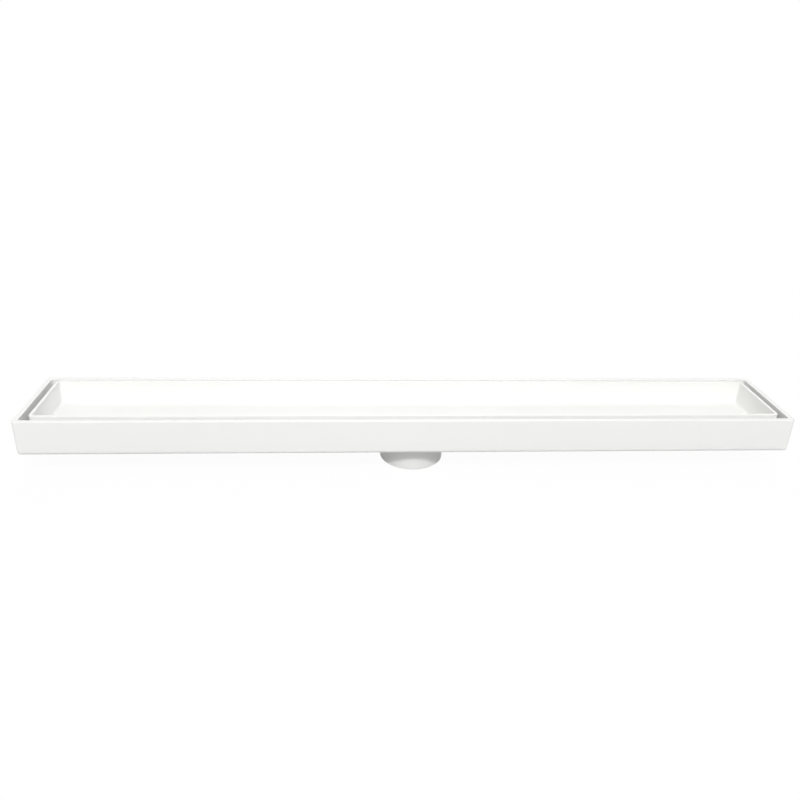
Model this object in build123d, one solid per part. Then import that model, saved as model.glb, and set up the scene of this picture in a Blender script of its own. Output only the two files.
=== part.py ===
from build123d import *
import os

# Linear shower drain of the 24 inch class, for a floor that is tiled right over it.
# A long white channel with a short round outlet under its middle is set in the floor.
# A tray for a strip of tile stands inside it on rubber feet, and the water runs in
# through the slot that is left all the way round the tray.
# Millimetres, X along the drain, Z up. The origin is under the middle of the outlet,
# on the surface that the drain stands on.

# Channel
channel_length = 610.0
channel_width = 85.0
channel_height = 28.5
channel_wall = 4.0
channel_floor = 3.0
channel_corner = 3.0  # outer radius of the four upright corners
channel_belly = 3.0  # outer radius along the bottom edges
pocket_corner = 2.0  # inner radius of the four upright corners
pocket_root = 1.5  # inner radius where the walls meet the floor
rim_round = 0.6  # both edges of the rim

# Outlet, moulded in one with the channel
outlet_outside = 52.0  # diameter
outlet_wall = 3.0
outlet_length = 24.5  # below the channel's underside
outlet_lead = 1.0  # bevel that starts the pipe socket
outlet_root = 1.0  # bevel that strengthens it where it meets the underside

# Tile tray
side_slot = 4.5  # left along each side of the tray
end_slot = 5.5  # left at each end of the tray
rim_rise = 0.7  # how far the tray's rim stands above the channel's
tray_wall = 2.5
tray_floor = 2.0
tray_corner = 4.0  # outer radius of the four upright corners
tray_belly = 3.0  # outer radius along the bottom edges
tile_corner = 2.0  # inner radius of the four upright corners
tile_root = 1.5  # inner radius where the walls meet the floor
tray_rim_round = 0.5

# Feet under the tray, which set the height of the waterway
feet_in_row = 4
foot_diameter = 10.0
foot_height = 5.0
foot_bevel = 0.8
foot_from_end = 45.0  # foot centre to the tray's end
foot_from_side = 13.0  # foot centre to the tray's side

# Strainer over the outlet
strainer_diameter = 58.0
strainer_thick = 1.5
strainer_bevel = 0.3
seat_clearance = 0.4  # all round the strainer
slot_count = 10
slot_width = 2.4
slot_inner = 8.0  # radius where the slots start
slot_margin = 2.5  # from the slots' outer ends to the bore
knob_diameter = 9.0
knob_neck = 5.0  # diameter under the knob's head
knob_head = 1.6  # height of the head itself
knob_bevel = 0.5
knob_clearance = 1.5  # from the knob to the tray above it

# Levels and plan sizes that follow
underside_z = outlet_length
floor_z = underside_z + channel_floor
rim_z = underside_z + channel_height
bore_radius = outlet_outside / 2 - outlet_wall
pocket_length = channel_length - 2 * channel_wall
pocket_width = channel_width - 2 * channel_wall
tray_length = pocket_length - 2 * end_slot
tray_width = pocket_width - 2 * side_slot
tray_rim_z = rim_z + rim_rise
tray_underside_z = floor_z + foot_height
tray_floor_z = tray_underside_z + tray_floor


def trough(length, width, corner, bottom_z, top_z, belly):
    """A block with round upright corners and a round bottom edge."""
    plan = Pos(0, 0, bottom_z) * RectangleRounded(length, width, corner)
    block = extrude(plan, top_z - bottom_z)
    return fillet(block.edges().group_by(Axis.Z)[0], belly)


def circles_at(body, height, radius):
    """The round edges of one radius about the outlet's axis, at one height."""
    found = body.edges().filter_by(GeomType.CIRCLE)
    found = found.filter_by_position(Axis.Z, height - 0.01, height + 0.01)
    return found.filter_by(lambda edge: abs(edge.radius - radius) < 0.01)


def drain_channel():
    """The outer channel and its outlet, one moulding."""
    body = trough(channel_length, channel_width, channel_corner, underside_z, rim_z, channel_belly)
    spigot = Pos(0, 0, outlet_length / 2) * Cylinder(outlet_outside / 2, outlet_length)
    body = body + spigot
    body = chamfer(circles_at(body, underside_z, outlet_outside / 2), outlet_root)
    body = chamfer(circles_at(body, 0, outlet_outside / 2), outlet_lead)

    # The pocket, open at the rim
    pocket = trough(pocket_length, pocket_width, pocket_corner, floor_z, rim_z, pocket_root)
    body = body - pocket
    body = fillet(body.edges().group_by(Axis.Z)[-1], rim_round)

    # The bore, and the seat that the strainer drops into, level with the floor
    body = body - Pos(0, 0, floor_z / 2) * Cylinder(bore_radius, floor_z + 2)
    seat = Cylinder(strainer_diameter / 2 + seat_clearance, 2 * strainer_thick)
    return body - Pos(0, 0, floor_z) * seat


def tile_tray():
    """The tray that takes the tile, one moulding."""
    body = trough(tray_length, tray_width, tray_corner, tray_underside_z, tray_rim_z, tray_belly)
    recess = trough(
        tray_length - 2 * tray_wall,
        tray_width - 2 * tray_wall,
        tile_corner,
        tray_floor_z,
        tray_rim_z,
        tile_root,
    )
    body = body - recess
    return fillet(body.edges().group_by(Axis.Z)[-1], tray_rim_round)


def tray_feet():
    """Two rows of rubber feet that carry the tray clear of the channel's floor."""
    foot = Cylinder(foot_diameter / 2, foot_height, align=(Align.CENTER, Align.CENTER, Align.MIN))
    foot = chamfer(foot.edges().group_by(Axis.Z)[0], foot_bevel)
    first_x = tray_length / 2 - foot_from_end
    row_y = tray_width / 2 - foot_from_side
    pitch = 2 * first_x / (feet_in_row - 1)
    feet = []
    for side in (-1, 1):
        for number in range(feet_in_row):
            feet.append(Pos(number * pitch - first_x, side * row_y, floor_z) * foot)
    return Compound(children=feet)


def hair_strainer():
    """A slotted disc with a knob to lift it by, resting in its seat over the outlet."""
    seat_z = floor_z - strainer_thick
    disc = Cylinder(strainer_diameter / 2, strainer_thick, align=(Align.CENTER, Align.CENTER, Align.MIN))
    disc = chamfer(disc.edges().group_by(Axis.Z)[-1], strainer_bevel)

    knob_top = strainer_thick + foot_height - knob_clearance
    neck_top = knob_top - knob_head
    half = Polyline(
        (0, 0),
        (knob_neck / 2, 0),
        (knob_neck / 2, neck_top),
        (knob_diameter / 2, neck_top),
        (knob_diameter / 2, knob_top),
        (0, knob_top),
        close=True,
    )
    knob = revolve(Plane.XZ * make_face(half), Axis.Z)
    knob = chamfer(knob.edges().group_by(Axis.Z)[-1], knob_bevel)

    slot_outer = bore_radius - slot_margin
    reach = slot_outer - slot_inner
    slot = extrude(SlotOverall(reach, slot_width), strainer_thick)
    strainer = disc + knob
    for number in range(slot_count):
        angle = (number + 0.5) * 360 / slot_count
        strainer = strainer - Rot(0, 0, angle) * Pos(slot_inner + reach / 2, 0, 0) * slot
    return Pos(0, 0, seat_z) * strainer


os.makedirs("parts", exist_ok=True)
export_step(drain_channel(), "parts/drain_channel.step")
export_step(tile_tray(), "parts/tile_tray.step")
export_step(tray_feet(), "parts/tray_feet.step")
export_step(hair_strainer(), "parts/hair_strainer.step")
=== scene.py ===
import math

import bpy
from mathutils import Matrix, Vector

# A linear shower drain as packed: the channel, the tile tray, its feet and the strainer.
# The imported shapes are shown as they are, and each gets its finish here.
# Metres, with the origin under the middle of the outlet, on the floor.
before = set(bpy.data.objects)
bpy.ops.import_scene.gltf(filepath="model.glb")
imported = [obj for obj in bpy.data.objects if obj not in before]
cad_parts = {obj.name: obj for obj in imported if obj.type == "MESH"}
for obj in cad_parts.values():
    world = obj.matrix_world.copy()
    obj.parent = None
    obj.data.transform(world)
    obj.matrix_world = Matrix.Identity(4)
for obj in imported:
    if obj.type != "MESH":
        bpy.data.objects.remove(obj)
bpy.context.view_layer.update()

# The channel, the long outer trough with the short round outlet under its middle.
# It is white ABS, moulded in one piece in a lightly sparked tool, which gives the eye
# a soft satin gloss, with a slight sink and drift of shade along its walls.
millimetre = 0.001


def linear(hex_colour):
    """An sRGB hex colour as linear red, green, blue and alpha."""
    parts = [int(hex_colour[place : place + 2], 16) / 255 for place in (1, 3, 5)]
    curved = [p / 12.92 if p <= 0.04045 else ((p + 0.055) / 1.055) ** 2.4 for p in parts]
    return curved + [1.0]


def add_node(tree, kind, settings=None, links=None):
    """Adds a node, sets its properties and inputs by name, and links outputs to its inputs."""
    node = tree.nodes.new(kind)
    for name, value in (settings or {}).items():
        if name in node.inputs:
            node.inputs[name].default_value = value
        else:
            setattr(node, name, value)
    for name_or_number, output in (links or {}).items():
        tree.links.new(output, node.inputs[name_or_number])
    return node


def moulded_abs(name, colour, warm_colour, roughness, grain_mm, grain_depth_mm):
    """White ABS as it leaves the tool: a drift of shade, sink and the tool's sparked grain."""
    # The resin flows unevenly along so long a moulding, and its thicker places sink as they cool.
    shade_size = 90 * millimetre
    sink_size = 45 * millimetre
    sink_depth = 0.06 * millimetre
    # A light sparked grain is about 0.1 mm wide, which is too fine to show in the render.
    # It is drawn 0.4 to 0.5 mm wide, as coarse as it needs to show.
    grain_size = grain_mm * millimetre
    grain_depth = grain_depth_mm * millimetre
    gloss_spread = 0.03

    material = bpy.data.materials.new(name)
    material.use_nodes = True
    tree = material.node_tree
    tree.nodes.clear()
    place = {"Vector": add_node(tree, "ShaderNodeTexCoord").outputs["Object"]}
    shade = add_node(tree, "ShaderNodeTexNoise", {"Scale": 1 / shade_size, "Detail": 2.0}, place)
    sink = add_node(tree, "ShaderNodeTexNoise", {"Scale": 1 / sink_size, "Detail": 1.0}, place)
    grain = add_node(tree, "ShaderNodeTexNoise", {"Scale": 1 / grain_size, "Detail": 2.0}, place)
    # Noise lies mostly near its middle, and that part of it is spread over both shades.
    blend = add_node(
        tree,
        "ShaderNodeMapRange",
        {"From Min": 0.35, "From Max": 0.65},
        {"Value": shade.outputs["Fac"]},
    )
    tint = add_node(
        tree, "ShaderNodeMix", {"data_type": "RGBA"}, {"Factor": blend.outputs["Result"]}
    )
    shades = [socket for socket in tint.inputs if socket.type == "RGBA"]
    shades[0].default_value = linear(colour)
    shades[1].default_value = linear(warm_colour)
    tinted = next(socket for socket in tint.outputs if socket.type == "RGBA")
    sink_bump = add_node(
        tree,
        "ShaderNodeBump",
        {"Strength": 1.0, "Distance": sink_depth},
        {"Height": sink.outputs["Fac"]},
    )
    grain_bump = add_node(
        tree,
        "ShaderNodeBump",
        {"Strength": 1.0, "Distance": grain_depth},
        {"Height": grain.outputs["Fac"], "Normal": sink_bump.outputs["Normal"]},
    )
    least, most = roughness - gloss_spread, roughness + gloss_spread
    gloss = add_node(
        tree,
        "ShaderNodeMapRange",
        {"From Min": 0.3, "From Max": 0.7, "To Min": least, "To Max": most},
        {"Value": grain.outputs["Fac"]},
    )
    shader = add_node(
        tree,
        "ShaderNodeBsdfPrincipled",
        {"IOR": 1.52},
        {
            "Base Color": tinted,
            "Roughness": gloss.outputs["Result"],
            "Normal": grain_bump.outputs["Normal"],
        },
    )
    add_node(tree, "ShaderNodeOutputMaterial", links={"Surface": shader.outputs["BSDF"]})
    return material


def finish_node(name, material):
    """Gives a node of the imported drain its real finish."""
    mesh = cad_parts[name].data
    mesh.materials.clear()
    mesh.materials.append(material)


channel_abs = moulded_abs(
    "moulded_abs_channel",
    colour="#F3F3F2",
    warm_colour="#F1F1EF",
    roughness=0.45,
    grain_mm=0.5,
    grain_depth_mm=0.004,
)
finish_node("drain_channel", channel_abs)

# The tile tray, the narrower trough that takes a strip of floor tile and lifts out.
# It is the same white ABS, moulded in a smoother tool, so it is a little glossier, and
# it stands on its feet inside the channel.
tray_abs = moulded_abs(
    "moulded_abs_tray",
    colour="#F4F4F3",
    warm_colour="#F2F2F0",
    roughness=0.4,
    grain_mm=0.4,
    grain_depth_mm=0.003,
)
finish_node("tile_tray", tray_abs)

# The hair strainer, a slotted disc with a knob to lift it by. It is moulded in the
# channel's white ABS with the same gloss and a finer grain, and it lies in a seat over
# the outlet.
strainer_abs = moulded_abs(
    "moulded_abs_strainer",
    colour="#F3F3F2",
    warm_colour="#F1F1EF",
    roughness=0.45,
    grain_mm=0.4,
    grain_depth_mm=0.003,
)
finish_node("hair_strainer", strainer_abs)

# The feet, eight pads that carry the tray clear of the channel's floor. They are moulded
# EPDM rubber, stuck to the tray's underside. It looks black and matt, with the faint grey
# bloom that such rubber gets.
bloom_size = 3 * millimetre
bloom_height = 0.02 * millimetre
rubber = bpy.data.materials.new("moulded_epdm_rubber")
rubber.use_nodes = True
tree = rubber.node_tree
tree.nodes.clear()
place = {"Vector": add_node(tree, "ShaderNodeTexCoord").outputs["Object"]}
bloom = add_node(tree, "ShaderNodeTexNoise", {"Scale": 1 / bloom_size, "Detail": 4.0}, place)
ramp = add_node(tree, "ShaderNodeValToRGB", links={"Fac": bloom.outputs["Fac"]})
ramp.color_ramp.elements[0].position = 0.4
ramp.color_ramp.elements[0].color = linear("#232324")
ramp.color_ramp.elements[1].position = 0.7
ramp.color_ramp.elements[1].color = linear("#38383A")
bump = add_node(
    tree,
    "ShaderNodeBump",
    {"Strength": 1.0, "Distance": bloom_height},
    {"Height": bloom.outputs["Fac"]},
)
shader = add_node(
    tree,
    "ShaderNodeBsdfPrincipled",
    {"IOR": 1.5, "Roughness": 0.75},
    {"Base Color": ramp.outputs["Color"], "Normal": bump.outputs["Normal"]},
)
add_node(tree, "ShaderNodeOutputMaterial", links={"Surface": shader.outputs["BSDF"]})
finish_node("tray_feet", rubber)

# The floor that the drain stands on, a sheet of plain white paper, matt and even.
# It shows white to the camera and in reflections, and keeps a faint shadow of the
# drain. Its underside is clear, so that the drain can be seen from below.


def seen_directly(tree):
    """1 for the rays that show a surface: the camera's, mirrored ones and those through glass."""
    rays = add_node(tree, "ShaderNodeLightPath").outputs
    either = add_node(
        tree,
        "ShaderNodeMath",
        {"operation": "MAXIMUM"},
        {0: rays["Is Camera Ray"], 1: rays["Is Glossy Ray"]},
    )
    any_of_them = add_node(
        tree,
        "ShaderNodeMath",
        {"operation": "MAXIMUM"},
        {0: either.outputs["Value"], 1: rays["Is Transmission Ray"]},
    )
    return any_of_them.outputs["Value"]


floor_half = 6.0
corner_sides = ((-1, -1), (1, -1), (1, 1), (-1, 1))
corners = [(x * floor_half, y * floor_half, 0) for x, y in corner_sides]
floor_mesh = bpy.data.meshes.new("studio_floor")
floor_mesh.from_pydata(corners, [], [(0, 1, 2, 3)])
floor = bpy.data.objects.new("studio_floor", floor_mesh)
bpy.context.scene.collection.objects.link(floor)

paper = bpy.data.materials.new("studio_paper")
paper.use_nodes = True
tree = paper.node_tree
tree.nodes.clear()
# Up to 0.35 m from the drain's middle, 4% of the white is lit by the lamps and takes the
# shadow. That share fades to nothing at 0.9 m, and the rest shines by itself.
shadow_reach = {"From Min": 0.35, "From Max": 0.9}
own_share = {"To Min": 0.96, "To Max": 1.0}
place = add_node(tree, "ShaderNodeTexCoord").outputs["Object"]
away = add_node(tree, "ShaderNodeVectorMath", {"operation": "LENGTH"}, {"Vector": place})
glow_share = add_node(
    tree, "ShaderNodeMapRange", shadow_reach | own_share, {"Value": away.outputs["Value"]}
)
matt = add_node(tree, "ShaderNodeBsdfDiffuse", {"Color": linear("#C8C8C8")})
lit_white = add_node(tree, "ShaderNodeBsdfDiffuse", {"Color": linear("#FFFFFF")})
glow = add_node(tree, "ShaderNodeEmission", {"Color": linear("#FFFFFF"), "Strength": 1.0})
clear = add_node(tree, "ShaderNodeBsdfTransparent")
seen_white = add_node(
    tree,
    "ShaderNodeMixShader",
    links={
        "Fac": glow_share.outputs["Result"],
        1: lit_white.outputs["BSDF"],
        2: glow.outputs["Emission"],
    },
)
upper_side = add_node(
    tree,
    "ShaderNodeMixShader",
    links={"Fac": seen_directly(tree), 1: matt.outputs["BSDF"], 2: seen_white.outputs["Shader"]},
)
underside = add_node(tree, "ShaderNodeNewGeometry").outputs["Backfacing"]
surface = add_node(
    tree,
    "ShaderNodeMixShader",
    links={"Fac": underside, 1: upper_side.outputs["Shader"], 2: clear.outputs["BSDF"]},
)
add_node(tree, "ShaderNodeOutputMaterial", links={"Surface": surface.outputs["Shader"]})
floor_mesh.materials.append(paper)

# The light: an even white room, and a small lamp high in front, whose shadow edge crosses
# the outlet. Large soft lamps in front, at both sides and behind reach into the slots.
world = bpy.data.worlds.new("studio_room")
bpy.context.scene.world = world
world.use_nodes = True
tree = world.node_tree
tree.nodes.clear()
room = add_node(tree, "ShaderNodeBackground", {"Color": linear("#FFFFFF"), "Strength": 0.275})
white = add_node(tree, "ShaderNodeBackground", {"Color": linear("#FFFFFF"), "Strength": 1.0})
surface = add_node(
    tree,
    "ShaderNodeMixShader",
    links={
        "Fac": seen_directly(tree),
        1: room.outputs["Background"],
        2: white.outputs["Background"],
    },
)
add_node(tree, "ShaderNodeOutputWorld", links={"Surface": surface.outputs["Shader"]})

lamps = (
    # name, azimuth and height in degrees, distance and width in metres, watts
    ("key_lamp", 1, 44, 2.5, 0.25, 29.0),
    ("front_lamp", 0, 38, 2.0, 1.6, 4.0),
    ("left_lamp", -55, 37, 2.0, 1.2, 6.3),
    ("right_lamp", 55, 37, 2.0, 1.2, 5.0),
    ("back_lamp", 180, 45, 2.0, 1.6, 13.0),
)
for name, azimuth, height, distance, width, watts in lamps:
    lamp_data = bpy.data.lights.new(name, "AREA")
    lamp_data.shape = "DISK"
    lamp_data.size = width
    lamp_data.energy = watts
    lamp = bpy.data.objects.new(name, lamp_data)
    bpy.context.scene.collection.objects.link(lamp)
    towards_lamp = Vector((0, -1, 0))
    towards_lamp.rotate(Matrix.Rotation(math.radians(-height), 3, "X"))
    towards_lamp.rotate(Matrix.Rotation(math.radians(azimuth), 3, "Z"))
    lamp.location = towards_lamp * distance
    lamp.rotation_mode = "QUATERNION"
    lamp.rotation_quaternion = (-towards_lamp).to_track_quat("-Z", "Y")

# The camera, in front of the drain and above it, a little to the left. Its place, turn
# and lens were fitted to the drain's outline in the photo, with the bow taken out of it.
photo_width = 800  # pixels
focal_length = 778.4  # in those pixels
camera_data = bpy.data.cameras.new("camera")
camera_data.lens = camera_data.sensor_width * focal_length / photo_width
camera = bpy.data.objects.new("camera", camera_data)
bpy.context.scene.collection.objects.link(camera)

# In millimetres, from the top of the channel's front face.
channel_front = -42.5
channel_top = 53
camera_place = Vector((-57.16, channel_front - 535.77, channel_top + 269.16)) * millimetre
# In radians.
camera_pan = -0.0803
camera_tilt = 0.4368
camera_roll = 0.0332
camera.matrix_world = (
    Matrix.Translation(camera_place)
    @ Matrix.Rotation(camera_pan, 4, "Z")
    @ Matrix.Rotation(math.radians(90) - camera_tilt, 4, "X")
    @ Matrix.Rotation(camera_roll, 4, "Z")
)
bpy.context.scene.camera = camera
bpy.context.scene.view_settings.view_transform = "Standard"
